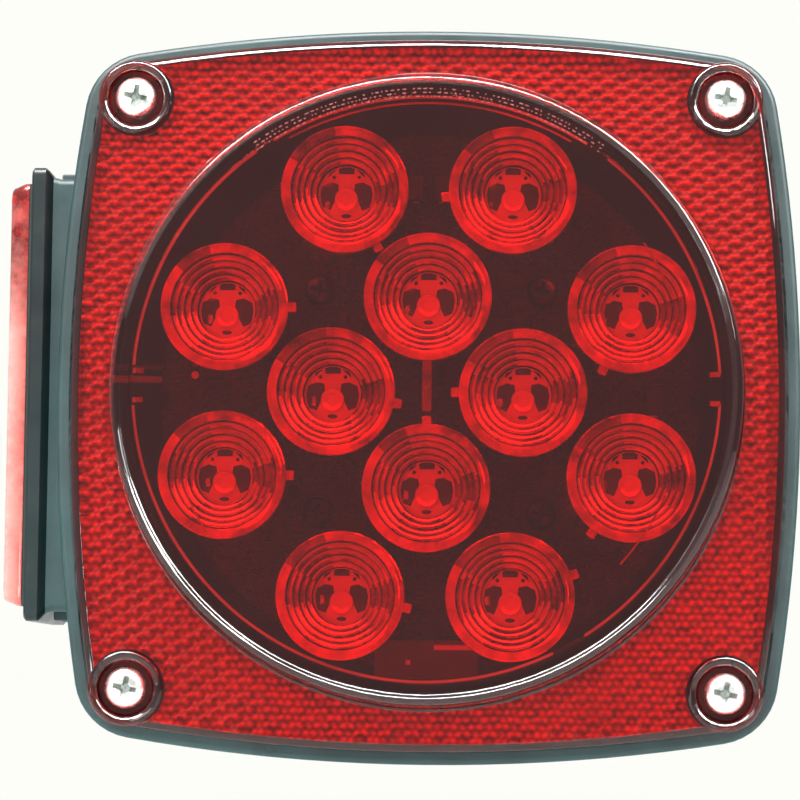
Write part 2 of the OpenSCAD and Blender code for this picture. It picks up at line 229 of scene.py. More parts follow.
# ---------------------------------------------------------------- helpers: materials

def lin(hexcode):
    """An sRGB hex code as a linear colour."""
    out = []
    for i in (1, 3, 5):
        c = int(hexcode[i:i + 2], 16) / 255
        out.append(c / 12.92 if c <= 0.04045 else ((c + 0.055) / 1.055) ** 2.4)
    return (*out, 1.0)


class Mat:
    """A small builder for procedural materials."""

    def __init__(self, name):
        self.m = bpy.data.materials.new(name)
        self.m.use_nodes = True
        self.t = self.m.node_tree
        self.t.nodes.clear()
        self.out = self.t.nodes.new("ShaderNodeOutputMaterial")
        self.tc = self.t.nodes.new("ShaderNodeTexCoord")

    def add(self, kind, **inputs):
        n = self.t.nodes.new(kind)
        for k, v in inputs.items():
            n.inputs[k.replace("_", " ")].default_value = v
        return n

    def link(self, a, b):
        self.t.links.new(a, b)

    def feed(self, sock, v):
        """Links an output to the socket, or sets a hex colour or plain value on it."""
        if hasattr(v, "links"):
            self.link(v, sock)
        else:
            sock.default_value = lin(v) if isinstance(v, str) else v

    def noise(self, scale, detail=3.0, rough=0.5):
        n = self.add("ShaderNodeTexNoise", Scale=scale, Detail=detail, Roughness=rough)
        self.link(self.tc.outputs["Object"], n.inputs["Vector"])
        return n.outputs["Fac"]

    def ramp(self, fac, a, b, lo=0.35, hi=0.65):
        r = self.add("ShaderNodeValToRGB")
        r.color_ramp.elements[0].position, r.color_ramp.elements[1].position = lo, hi
        r.color_ramp.elements[0].color, r.color_ramp.elements[1].color = lin(a), lin(b)
        self.link(fac, r.inputs["Fac"])
        return r.outputs["Color"]

    def span(self, fac, lo, hi, a=0.3, b=0.7):
        """Maps fac from a..b to lo..hi."""
        r = self.add("ShaderNodeMapRange")
        for k, v in (("From Min", a), ("From Max", b), ("To Min", lo), ("To Max", hi)):
            r.inputs[k].default_value = v
        self.link(fac, r.inputs["Value"])
        return r.outputs["Result"]

    def math(self, op, a, b):
        n = self.t.nodes.new("ShaderNodeMath")
        n.operation = op
        self.feed(n.inputs[0], a)
        self.feed(n.inputs[1], b)
        return n.outputs["Value"]

    def mix_color(self, fac, a, b):
        n = self.t.nodes.new("ShaderNodeMix")
        n.data_type = "RGBA"
        # the Mix node's colour sockets are 6 and 7, its colour result is 2
        for sock, v in ((0, fac), (6, a), (7, b)):
            self.feed(n.inputs[sock], v)
        return n.outputs[2]

    def bump(self, height, distance):
        b = self.add("ShaderNodeBump", Strength=1.0, Distance=distance)
        self.link(height, b.inputs["Height"])
        return b.outputs["Normal"]

    def principled(self, color, rough, normal=None, **uniform):
        p = self.t.nodes.new("ShaderNodeBsdfPrincipled")
        self.feed(p.inputs["Base Color"], color)
        self.feed(p.inputs["Roughness"], rough)
        if normal is not None:
            self.link(normal, p.inputs["Normal"])
        for k, v in uniform.items():
            p.inputs[k.replace("_", " ")].default_value = v
        return p.outputs["BSDF"]

    def mix(self, fac, a, b):
        n = self.t.nodes.new("ShaderNodeMixShader")
        self.feed(n.inputs["Fac"], fac)
        self.link(a, n.inputs[1])
        self.link(b, n.inputs[2])
        return n.outputs["Shader"]

    def done(self, shader):
        self.link(shader, self.out.inputs["Surface"])
        return self.m


def moulded(name, a, b, rough=(0.3, 0.42), grain=0.000012, grain_scale=2600, wear=None, **uniform):
    """Moulded plastic or rubber: cloudy tone, uneven gloss, fine grain, faint scuffs."""
    m = Mat(name)
    tone = m.ramp(m.noise(45, 5, 0.6), a, b)
    if wear:
        broad = m.span(m.noise(38, 3, 0.5), 0.0, 1.0, 0.5, 0.72)
        scuff = m.math("MULTIPLY", broad, m.span(m.noise(900, 4, 0.7), 0.0, 0.3, 0.5, 0.75))
        tone = m.mix_color(scuff, tone, wear)
    r = m.span(m.noise(160, 4, 0.6), rough[0], rough[1])
    n = m.bump(m.noise(grain_scale, 2, 0.5), grain)
    return m.done(m.principled(tone, r, n, **uniform))


def clear_plastic(name, tint_a, tint_b, rough=0.03, haze=None, haze_mix=0.0, ior=1.49):
    """A thin moulded transparent skin: tinted light goes through, gloss sits on the outside."""
    m = Mat(name)
    tr = m.t.nodes.new("ShaderNodeBsdfTransparent")
    m.link(m.ramp(m.noise(60, 3, 0.5), tint_a, tint_b, 0.3, 0.7), tr.inputs["Color"])
    body = tr.outputs["BSDF"]
    if haze is not None:
        d = m.t.nodes.new("ShaderNodeBsdfDiffuse")
        m.link(m.ramp(m.noise(90, 3, 0.5), haze, tint_b, 0.2, 1.0), d.inputs["Color"])
        body = m.mix(haze_mix, body, d.outputs["BSDF"])
    gl = m.t.nodes.new("ShaderNodeBsdfAnisotropic")
    m.link(m.span(m.noise(240, 3, 0.5), rough, rough * 2.0), gl.inputs["Roughness"])
    n = m.bump(m.noise(180, 2, 0.4), 0.000004)
    m.link(n, gl.inputs["Normal"])
    fr = m.add("ShaderNodeFresnel", IOR=ior)
    m.link(n, fr.inputs["Normal"])
    geo = m.t.nodes.new("ShaderNodeNewGeometry")
    front = m.math("SUBTRACT", 1.0, geo.outputs["Backfacing"])
    gloss = m.math("MULTIPLY", fr.outputs["Fac"], front)
    fac = m.math("ADD", gloss, m.math("MULTIPLY", geo.outputs["Backfacing"], 0.035))
    return m.done(m.mix(fac, body, gl.outputs["BSDF"]))


def metal(name, a, b, rough):
    m = Mat(name)
    tone = m.ramp(m.noise(260, 4, 0.6), a, b)
    r = m.span(m.noise(700, 5, 0.7), rough[0], rough[1])
    n = m.bump(m.noise(1500, 4, 0.6), 0.000006)
    return m.done(m.principled(tone, r, n, Metallic=1.0))


M = {}
M["housing"] = moulded(
    "housing_plastic", "#223c3d", "#2f4e4f", (0.42, 0.56), 0.000008, 3000, "#5b7473", Specular_IOR_Level=0.4
)
# a darker copy of the housing plastic for the side marker's flange: painted shade
M["housing_flange"] = moulded(
    "housing_plastic_flange", "#081b1c", "#0f2728", (0.3, 0.42), 0.000008, 3000, "#2c4646", Specular_IOR_Level=0.4
)
M["rubber"] = moulded("black_rubber", "#161616", "#222222", (0.55, 0.75), 0.00002, 1800)
M["lens"] = clear_plastic("red_lens", "#f58a83", "#f8948d", 0.02, "#b01812", 0.008)
M["lens_edge"] = clear_plastic("red_lens_edge", "#f58a83", "#f8948d", 0.04, "#b01812", 0.01, 1.62)
M["steel"] = metal("plated_steel", "#e2e6e1", "#f8faf6", (0.2, 0.38))
# a darker copy of the plated steel for the faces inside the cross recess: painted shade
M["steel_dark"] = metal("plated_steel_recess", "#9aa39d", "#c6ccc7", (0.3, 0.5))
M["black_steel"] = metal("black_steel", "#2c2c2b", "#4a4946", (0.35, 0.5))
M["brass"] = metal("tinned_brass", "#b8a878", "#d8cfa8", (0.2, 0.35))
M["clear"] = clear_plastic("clear_window", "#e8eef0", "#f4f8f9", 0.03)
M["brown"] = moulded("brown_insulation", "#5b3318", "#6f4424", (0.4, 0.55), 0.000008)
M["white"] = moulded("white_insulation", "#d4d2c9", "#e6e4dc", (0.4, 0.55), 0.000008)
M["chip"] = moulded("component_body", "#1a1a19", "#2a2926", (0.4, 0.6), 0.000008)
M["can"] = metal("capacitor_can", "#39465a", "#4a5a72", (0.25, 0.4))


def reflex_material():
    """Red prism cells with painted light and shade: painted highlights over the ridges, painted shade in the pits,
    drawn out into rows higher up.
    """
    m = Mat("reflex_red")
    sep = m.t.nodes.new("ShaderNodeSeparateXYZ")
    m.link(m.tc.outputs["Object"], sep.inputs["Vector"])
    wob = m.span(m.noise(330, 2, 0.5), -0.5, 0.5, 0.2, 0.8)
    slip = m.span(m.noise(260, 2, 0.5), -0.7, 0.7, 0.2, 0.8)
    x = m.math("ADD", m.math("MULTIPLY", sep.outputs["X"], TAU / 0.004), slip)
    z = m.math("ADD", m.math("MULTIPLY", sep.outputs["Z"], TAU / 0.00231), wob)
    row = m.math("COSINE", m.math("MULTIPLY", z, 2.0), 0)
    short = m.math("COSINE", m.math("MULTIPLY", x, 3.0), 0)
    dash = m.math("MULTIPLY", short, m.math("COSINE", z, 0))
    cell = m.math("MULTIPLY", m.math("COSINE", x, 0), m.math("COSINE", z, 0))
    # the rows grow stronger higher up: painted light
    high = m.span(sep.outputs["Z"], 0.62, 0.95, -0.02, 0.035)
    light_and_shade_pat = m.math("ADD", m.math("MULTIPLY", row, high), m.math("MULTIPLY", dash, 0.8))
    light_and_shade_pat = m.math("SUBTRACT", light_and_shade_pat, m.math("MULTIPLY", cell, 0.35))
    broken = m.span(m.noise(560, 2, 0.6), -0.7, 0.7, 0.2, 0.8)
    fac = m.span(m.math("ADD", light_and_shade_pat, broken), 0.0, 1.0, -1.5, 1.5)
    tone = m.ramp(fac, "#3c0705", "#d8443b", 0.08, 0.97)
    broad = m.span(m.noise(60, 3, 0.5), 0.0, 0.5, 0.4, 0.75)
    tone = m.mix_color(broad, tone, "#7c130f")
    r = m.span(m.noise(300, 3, 0.5), 0.45, 0.6)
    n = m.bump(m.noise(2200, 2, 0.5), 0.000006)
    return m.done(m.principled(tone, r, n, Metallic=0.0, Specular_IOR_Level=0.25))


def optic_material(name, low, high, metallic, rough):
    m = Mat(name)
    tone = m.ramp(m.noise(210, 4, 0.65), low, high, 0.34, 0.62)
    r = m.span(m.noise(420, 3, 0.6), rough[0], rough[1])
    n = m.bump(m.noise(300, 3, 0.5), 0.00008)
    return m.done(m.principled(tone, r, n, Metallic=metallic, Specular_IOR_Level=0.8, Coat_Weight=0.5))


def board_material():
    m = Mat("board_laminate")
    # copper runs under the dark mask, as soft-edged rectangles
    br = m.add("ShaderNodeTexBrick", Scale=240.0)
    br.inputs["Color1"].default_value = lin("#10190f")
    br.inputs["Color2"].default_value = lin("#1b2a1a")
    br.inputs["Mortar"].default_value = lin("#2b3a24")
    br.inputs["Mortar Size"].default_value = 0.03
    mp = m.add("ShaderNodeMapping")
    mp.inputs["Rotation"].default_value = (math.radians(90), 0, 0)
    m.link(m.tc.outputs["Object"], mp.inputs["Vector"])
    m.link(mp.outputs["Vector"], br.inputs["Vector"])
    tone = m.mix_color(m.span(m.noise(70, 3, 0.5), 0.0, 0.6), br.outputs["Color"], "#0d120d")
    r = m.span(m.noise(300, 3, 0.6), 0.2, 0.35)
    n = m.bump(br.outputs["Fac"], 0.00003)
    return m.done(m.principled(tone, r, n))


def led_material():
    m = Mat("led_package")
    tone = m.ramp(m.noise(500, 3, 0.5), "#0f0807", "#221010")
    r = m.span(m.noise(900, 3, 0.5), 0.12, 0.25)
    return m.done(m.principled(tone, r, m.bump(m.noise(1800, 2, 0.5), 0.000008), Coat_Weight=0.3))


def marker_material():
    """Side marker skin: mottled red at the top, paler and pinkish white down its length and towards its outer edge."""
    m = Mat("marker_red_lens")
    sep = m.t.nodes.new("ShaderNodeSeparateXYZ")
    m.link(m.tc.outputs["Object"], sep.inputs["Vector"])
    along = m.span(sep.outputs["Z"], 1.0, 0.0, 0.008, 0.026)
    along = m.math("ADD", along, m.span(m.noise(150, 4, 0.7), -0.35, 0.35, 0.25, 0.75))
    out = m.span(sep.outputs["X"], 1.0, 0.0, -0.0668, -0.0635)
    mottle = m.ramp(m.noise(420, 3, 0.7), "#6e100d", "#c8352d", 0.4, 0.62)
    pale = m.mix_color(out, "#d84a3c", "#ffc9c0")
    grain = m.span(m.noise(640, 2, 0.6), 0.0, 0.5, 0.4, 0.7)
    pale = m.mix_color(grain, pale, "#f2a092")
    tone = m.mix_color(along, mottle, pale)
    r = m.span(m.noise(240, 3, 0.5), 0.08, 0.2)
    tr = m.t.nodes.new("ShaderNodeBsdfTransparent")
    m.link(m.ramp(m.noise(60, 3, 0.5), "#f58a84", "#f89a94"), tr.inputs["Color"])
    skin = m.principled(tone, r, m.bump(m.noise(500, 2, 0.5), 0.00002), Coat_Weight=0.4)
    return m.done(m.mix(0.72, tr.outputs["BSDF"], skin))


M["reflex"] = reflex_material()
M["optic"] = optic_material("optic_red", "#78100c", "#e2423a", 0.3, (0.06, 0.14))
# darker and paler copies of the optic red: painted shade in the grooves and shaded sectors, painted highlights on the
# crests, painted light on the outer band's lower left
M["optic_groove"] = optic_material("optic_groove_red", "#240605", "#5c120f", 0.1, (0.2, 0.35))
M["optic_crest"] = optic_material("optic_crest_red", "#ff9a8c", "#fff0ea", 0.0, (0.05, 0.12))
M["optic_shade"] = optic_material("optic_shade_red", "#421012", "#8a2624", 0.2, (0.15, 0.3))
M["optic_band"] = optic_material("optic_band_red", "#981813", "#ec4c43", 0.2, (0.1, 0.22))
M["board"] = board_material()
M["led"] = led_material()
M["optic_clear"] = clear_plastic("optic_clear", "#ffc4bf", "#ffd0cb", 0.03, "#d81a14", 0.04)
M["dome"] = clear_plastic("led_dome", "#ff9a94", "#ffb0aa", 0.02)
M["frame"] = moulded("led_lead_frame", "#f09a90", "#fff0ec", (0.2, 0.4), 0.00004, 900)
M["dark"] = moulded("dark_red_plastic", "#3c100d", "#5a1a15", (0.25, 0.4), 0.000010)
M["rib"] = moulded("lens_rib_red", "#7e3430", "#a8524c", (0.15, 0.3), 0.000004, Specular_IOR_Level=0.9)
M["marker_clear"] = marker_material()
M["marker_prism"] = moulded("marker_prism_red", "#d32a25", "#f2504a", (0.15, 0.3), 0.000004, Specular_IOR_Level=0.8)

# ---------------------------------------------------------------- main proportions, read from the frame

lo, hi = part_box("main_lens")
LENS_W, LENS_H = (hi.x - lo.x) * 500, (hi.z - lo.z) * 500
DRUM_Y = lo.y * 1000
lo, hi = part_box("housing")
HOUSE_H, HOUSE_X = (hi.z - lo.z) * 500, hi.x * 1000
RIM_Y = lo.y * 1000
FLANGE_Y = RIM_Y - 3.2
LENS = (LENS_W, LENS_H, 8.5)
RIM = (HOUSE_X, HOUSE_H, 10.0)
SCREW_AT = 46.5
BOARD_SCREW_AT = 18
STUD_X = 25.4
GROMMET_Z = -24
DRUM_R = 49.2
SIDES = (-1, 1)
CORNERS = [(sx, sz) for sx in SIDES for sz in SIDES]
BOARD_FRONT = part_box("circuit_board")[0].y * 1000
mlo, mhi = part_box("marker_lens")
MX0, MX1 = mlo.x * 1000, mhi.x * 1000
MY0, MY1 = mlo.y * 1000, mhi.y * 1000
MZ = mhi.z * 1000
MID_Y = (MY0 + MY1) / 2
FLANGE_X = MX1 + 0.5


def rounding(r, y, sign, d0=0.0, n=4):
    """(outset, y) steps round an edge of radius r that turns from the wall onto a face at y."""
    turns = [math.pi / 2 * i / n for i in range(n + 1)]
    return [(d0 - r * (1 - math.cos(a)), y + sign * r * (1 - math.sin(a))) for a in turns]


# ---------------------------------------------------------------- housing

def housing():
    steps = list(reversed(rounding(0.9, RIM_Y, 1)))
    steps += [(0, -35.9)] + rounding(0.7, -35.0, -1)
    steps += [(-2.1, -35.0), (-2.4, -34.8), (-2.5, -34.3), (-2.55, -20), (-2.7, -4.2)]
    steps += [(-2.85, -3.4), (-3.3, -2.6), (-3.9, -2.1), (-4.4, -1.8)]
    steps += rounding(1.2, 0.0, -1, -4.5)
    base = slab_loft(RIM, steps, 10, 8)
    hollow = slab_loft((53.5, 53.0, 7.5), [(0, RIM_Y - 1), (0, -3.0), (-0.2, -2.6), (-0.6, -2.5)], 8, 6)
    # side marker neck: rounded plate, then a slope down to the wall
    z = MZ + 2.4
    y0, y1 = MID_Y - 15.9, MID_Y + 15.9

    def rect(x, hz, a, b):
        r, n = 1.2, 4
        pts = []
        for cz, cy, s in ((hz - r, b - r, 0), (hz - r, a + r, 1), (-hz + r, a + r, 2), (-hz + r, b - r, 3)):
            for i in range(n + 1):
                ang = math.pi / 2 - (math.pi / 2) * (s + i / n)
                pts.append((x, cy + r * math.sin(ang), cz + r * math.cos(ang)))
        return pts

    neck = bmesh.new()
    loft(neck, [
        rect(FLANGE_X, z - 0.4, y0 + 0.4, y1 - 0.4),
        rect(FLANGE_X + 0.4, z, y0, y1),
        rect(FLANGE_X + 2.2, z, y0, y1),
        rect(FLANGE_X + 2.6, z - 0.35, y0 + 0.35, y1 - 0.35),
        rect(FLANGE_X + 3.3, z - 1.3, y0 + 1.3, y1 - 0.9),
        rect(FLANGE_X + 4.4, z - 1.6, y0 + 1.5, y1 - 1.0),
        rect(FLANGE_X + 6.5, z - 1.6, y0 + 1.3, y1 - 1.0),
        rect(FLANGE_X + 12.5, z - 1.6, y0 + 0.6, y1 - 0.6),
    ])
    # ribs stiffen the neck above and below
    union = [neck]
    for s in SIDES:
        for yy in (MID_Y - 9, MID_Y, MID_Y + 9):
            rz = s * (z - 1.4)
            union.append(block((-59.5, yy - 0.8, rz - 1.2), (-54, yy + 0.8, rz + 1.2), 0.3))
    # bosses for the lens screws and the board screws
    fittings = []
    boss = [(0, 0), (4.3, 0), (4.3, -RIM_Y - 9), (0, -RIM_Y - 9)]
    post = [(0, 0), (3.5, 0), (3.5, 22.9), (0, 22.9)]
    for sx, sz in CORNERS:
        fittings.append(turned(boss, (sx * SCREW_AT, sz * SCREW_AT), -8.0, 32))
        fittings.append(turned(post, (sx * BOARD_SCREW_AT, sz * BOARD_SCREW_AT), -1.5, 24))
    fittings.append(block((-20, -38, -53.5), (20, -10, -50.6), 0.4))
    body = combine(temp(base), union)
    body = combine(temp(body), (), [hollow])
    cuts = []
    pilot = [(0, 0), (1.75, 0), (1.75, 16), (0, 16)]
    seat = [(9.2, -1), (9.5, 0.0), (9.7, 0.5), (10.4, 0.5), (10.6, 0.0), (10.9, -1)]
    stud_hole = [(0, -1), (3.9, -1), (3.5, 0.4), (3.5, 9), (0, 9)]
    wire_hole = [(0, -1), (8.6, -1), (8.3, 0.3), (8.3, 1.6), (5.0, 1.6), (5.0, 9), (0, 9)]
    for sx in SIDES:
        for sz in SIDES:
            cuts.append(turned(pilot, (sx * SCREW_AT, sz * SCREW_AT), RIM_Y + 14, 24))
        # a shallow ring round each stud, where the bracket seats
        cuts.append(turned(seat, (sx * STUD_X, 0), 0, 64))
        cuts.append(turned(stud_hole, (sx * STUD_X, 0), 0, 48))
    cuts.append(turned(wire_hole, (0, GROMMET_Z), 0, 64))
    # the licence window's opening, then the pocket behind the side marker
    cuts.append(block((-16.0, -34, -60), (16.0, -14, -49), 0.5))
    cuts.append(block((FLANGE_X - 3, MID_Y - 13, -MZ + 1.75), (-57.5, MID_Y + 13, MZ - 1.75), 0.8))
    # the passage for the two leads of the side marker
    hole = turned([(0, 0), (2.4, 0), (2.4, 12), (0, 12)], (0, 0), 0, 24)
    hole.transform(Matrix.Translation((-58.5, -19.0, 5)) @ Matrix.Rotation(math.radians(90), 4, "Z"))
    cuts.append(hole)
    # moulded recesses in the rear face, between plain ribs
    recesses = [(sx * 34, 12, sz * 30) for sx in SIDES for sz in (1, -1)] + [(0, 16, 30)]
    for x, half, z in recesses:
        cuts.append(block((x - half, -0.7, z - 14), (x + half, 2, z + 14), 0.6, 3))
    body = combine(temp(body), fittings, cuts)
    # faces of the side marker's flange take the darker copy of the housing plastic: painted shade
    for f in body.faces:
        if f.calc_center_median().x < FLANGE_X + 3.4:
            f.material_index = 1
    mats = [M["housing"], M["housing_flange"]]
    piece("housing_moulding", body, mats, replaces=["housing"], angle=36)


housing()

# ---------------------------------------------------------------- lens

def lens():
    shoulder = [(0, 1.1), (-0.12, 0.7), (-0.35, 0.42), (-0.95, 0.1), (-1.2, 0.02), (-1.4, 0.0)]
    steps = [(-0.15, RIM_Y), (0, RIM_Y - 0.3)] + [(d, FLANGE_Y + up) for d, up in shoulder]
    flange = slab_loft(LENS, steps, 10, 8)
    top = RIM_Y - DRUM_Y
    prof = [(0, 0.4), (DRUM_R, 0.4), (DRUM_R + 0.6, 3.2), (DRUM_R + 0.2, 3.42), (DRUM_R, 3.75)]
    # the raised rim of the window, as (inset, depth) from the drum's wall and top
    rim = [(0.45, 1.5), (0.58, 0.95), (0.74, 0.62), (0.95, 0.4), (1.28, 0.15), (1.42, 0.06)]
    rim += [(1.52, 0.03), (1.64, 0.1), (1.92, 0.34), (2.1, 0.52), (2.35, 0.6)]
    prof += [(DRUM_R - d, top - q) for d, q in rim] + [(0, top - 0.6)]
    drum = turned(prof, (0, 0), RIM_Y, 160)
    hollow = [(0, -1), (46.6, -1), (46.6, 3.2), (46.0, top - 3.6), (45.6, top - 2.9), (44.8, top - 2.6), (0, top - 2.6)]
    cuts = [turned(hollow, (0, 0), RIM_Y, 160)]
    # chamfered wells for the lens screws, each with a bead round it
    well = [(0, 4.5), (5.5, 4.5), (5.3, 3.5), (5.05, 3.42), (4.75, 3.26), (4.5, 3.05), (4.3, 2.7), (4.3, 1.9)]
    well += [(4.1, 1.7), (2.0, 1.7), (2.0, -1), (0, -1)]
    bead = [(4.0, 3.0), (4.0, 3.6), (5.2, 3.55), (5.4, 3.52), (5.65, 3.38), (5.85, 3.15), (5.9, 3.0)]
    beads = []
    for sx, sz in CORNERS:
        cuts.append(turned(well, (sx * SCREW_AT, sz * SCREW_AT), RIM_Y, 48))
        beads.append(turned(bead, (sx * SCREW_AT, sz * SCREW_AT), RIM_Y, 64))
    bm = combine(temp(flange), [drum] + beads, cuts)
    # sloping faces catch the light more strongly
    for f in bm.faces:
        if 0.12 < abs(f.normal.y) < 0.985:
            f.material_index = 1
    piece("lens_moulding", bm, [M["lens"], M["lens_edge"]], replaces=["main_lens"], angle=33)

    # plain arcs moulded on the inside of the window
    ring = bmesh.new()
    y = DRUM_Y + 2.6
    for a0, a1 in ((3, 52), (57, 122), (126, 176), (184, 296), (303, 357)):
        arc_rod(ring, 45.15, a0, a1, 0.42, -0.8, y)
    for a in (0, 180):
        for s in SIDES:
            arc_rod(ring, 44.4, a + s * 2.4, a + s * 3.4, 1.6, -0.8, y, steps=2)
    for a0, a1, r in ((60, 119, 44.2), (20, 34, 40.3), (318, 336, 40.3), (196, 214, 40.3)):
        arc_rod(ring, r, a0, a1, 0.3, -0.5, y)
    piece("lens_inner_ribs", ring, [M["rib"]], angle=50)

    # generic raised pips where a lens carries its approval marks
    pips = bmesh.new()
    for radius in (46.1, 45.5, 44.9):
        a = 54.0
        while a < 126:
            w = rng.choice((0.25, 0.4, 0.7))
            arc_rod(pips, radius, a, a + w, 0.22, 0.18, DRUM_Y + 0.7, steps=2)
            a += w + rng.choice((0.45, 0.6, 1.3))
    piece("lens_marks", pips, [M["marks"]], angle=50)


M["marks"] = clear_plastic("lens_mark_red", "#e88a84", "#f2a19b", 0.12, "#e9a09b", 0.28)
lens()


# ---------------------------------------------------------------- reflex field

FOOT_R = DRUM_R + 0.55
SCREW_CLEAR = 6.05


def reflex():
    """The stepped prism sheet round the window, as a closed solid."""
    pitch_x, pitch_z = 2.0, 2.31
    s = pitch_z / math.sqrt(3)
    base_y = RIM_Y - 0.35
    bm = bmesh.new()
    verts = {}

    def vert(x, z, up):
        key = (round(x * 50), round(z * 50))
        if key not in verts:
            verts[key] = bm.verts.new((x, base_y - up, z))
        return verts[key]

    cols, rows = 30, 26
    for i in range(-cols, cols + 1):
        for j in range(-rows, rows + 1):
            cx, cz = i * pitch_x, (j + (0.5 if i % 2 else 0)) * pitch_z
            if math.hypot(cx, cz) < DRUM_R - 3:
                continue
            c = vert(cx, cz, 0.0)
            turns = [math.radians(60 * k) for k in range(6)]
            ring = [vert(cx + s * math.cos(a), cz + s * math.sin(a), (0.42, 0.84)[k % 2]) for k, a in enumerate(turns)]
            for k in (0, 2, 4):
                bm.faces.new((c, ring[k], ring[(k + 1) % 6], ring[(k + 2) % 6]))
    bmesh.ops.recalc_face_normals(bm, faces=bm.faces)
    if sum(f.normal.y * f.calc_area() for f in bm.faces) > 0:
        bmesh.ops.reverse_faces(bm, faces=bm.faces)

    def clip(co, no):
        geom = list(bm.verts) + list(bm.edges) + list(bm.faces)
        bmesh.ops.bisect_plane(bm, geom=geom, plane_co=co, plane_no=no, clear_outer=True)

    # outside: tangent planes of the flange outline, moved in by the plain rim
    edge = bowed(*grown(LENS, -1.15), ne=6, nc=6)
    for k in range(len(edge)):
        x0, z0 = edge[k]
        x1, z1 = edge[(k + 1) % len(edge)]
        no = Vector((z1 - z0, 0, -(x1 - x0))).normalized()
        clip(Vector((x0, 0, z0)), no)
    # inside: drop what lies within the window's foot and round the screws

    def inside(v):
        if math.hypot(v.co.x, v.co.z) < FOOT_R:
            return True
        return math.hypot(abs(v.co.x) - SCREW_AT, abs(v.co.z) - SCREW_AT) < SCREW_CLEAR

    doomed = [f for f in bm.faces if all(inside(v) for v in f.verts)]
    bmesh.ops.delete(bm, geom=doomed, context="FACES")
    for v in bm.verts:
        if not inside(v):
            continue
        r = math.hypot(v.co.x, v.co.z)
        if r < FOOT_R:
            v.co.x *= FOOT_R / r
            v.co.z *= FOOT_R / r
        else:
            sx, sz = math.copysign(SCREW_AT, v.co.x), math.copysign(SCREW_AT, v.co.z)
            d = Vector((v.co.x - sx, 0, v.co.z - sz))
            d.normalize()
            v.co.x, v.co.z = sx + d.x * SCREW_CLEAR, sz + d.z * SCREW_CLEAR
    # close the sheet with a skirt and a flat back, so that it is a solid
    bmesh.ops.remove_doubles(bm, verts=bm.verts, dist=0.01)
    border = [e for e in bm.edges if len(e.link_faces) == 1]
    for v in {v for e in border for v in e.verts}:
        v.co.y = base_y - 1.6
    made = bmesh.ops.extrude_edge_only(bm, edges=border)
    for v in (g for g in made["geom"] if isinstance(g, bmesh.types.BMVert)):
        v.co.y = base_y + 0.25
    return bm


piece("reflex_field", reflex(), [M["reflex"]], angle=12, normals=False)


# ---------------------------------------------------------------- board, LEDs and optics

def centre(node):
    a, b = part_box(node)
    return ((a.x + b.x) * 500, (a.z + b.z) * 500)


def flat_plate(name, outer, holes, y0, y1):
    """A thin plate with holes, filled from closed outlines, as a bmesh in mm."""
    cu = bpy.data.curves.new(name, "CURVE")
    cu.dimensions = "2D"
    cu.fill_mode = "BOTH"
    for pts in [outer] + holes:
        sp = cu.splines.new("POLY")
        sp.points.add(len(pts) - 1)
        for p, (x, z) in zip(sp.points, pts):
            p.co = (x, z, 0, 1)
        sp.use_cyclic_u = True
    cu.extrude = abs(y1 - y0) / 2
    o = add_object(name, cu)
    bpy.context.view_layer.update()
    me = bpy.data.meshes.new_from_object(o.evaluated_get(bpy.context.evaluated_depsgraph_get()))
    bm = bmesh.new()
    bm.from_mesh(me)
    bpy.data.objects.remove(o)
    bpy.data.curves.remove(cu)
    bpy.data.meshes.remove(me)
    bm.transform(Matrix.Translation((0, (y0 + y1) / 2, 0)) @ Matrix.Rotation(math.radians(90), 4, "X"))
    return bm


def ring_points(cx, cz, rx, rz, n):
    turns = [math.radians(360.0 * k / n) for k in range(n)]
    return [(cx + rx * math.cos(a), cz + rz * math.sin(a)) for a in turns]


def lead_frame():
    """The metal pattern seen inside each LED: a cup, a waist above it, and two side windows."""
    holes = []
    side = [(2.5, -2.6), (1.75, -0.9), (1.2, 0.6), (1.35, 1.7), (2.6, 1.95), (3.9, 1.3), (4.15, 0), (4.0, -1.2), (3.7, -2.1)]
    for s in SIDES:
        holes.append([(s * x, z) for x, z in side])
        holes.append(ring_points(s * 2.0, 2.75, 0.32, 0.32, 12))
        holes.append([(s * 2.9, 2.6), (s * 1.9, 3.6), (s * 1.6, 4.05), (s * 2.7, 3.45)])
    holes.append([(-1.2, 3.25), (1.2, 3.25), (1.25, 4.1), (0.6, 4.35), (-0.6, 4.35), (-1.25, 4.1)])
    holes.append(ring_points(0, -3.5, 0.8, 0.35, 14))
    return flat_plate("plate", ring_points(0, 0, 4.5, 4.5, 48), holes, 0.0, 0.25)


def merge(bm, other, mat, offset=(0, 0, 0)):
    """Adds a copy of another bmesh, moved, with one material index."""
    me = bpy.data.meshes.new("m")
    other.to_mesh(me)
    me.transform(Matrix.Translation(offset))
    start = len(bm.faces)
    bm.from_mesh(me)
    bm.faces.ensure_lookup_table()
    for f in bm.faces[start:]:
        f.material_index = mat
    bpy.data.meshes.remove(me)


PLATE = lead_frame()
# which way each optic's locating tab points, in degrees
TABS = [245, 186, 300, 0, 0, 350, 20, 235, 180, 270, 350, 90]


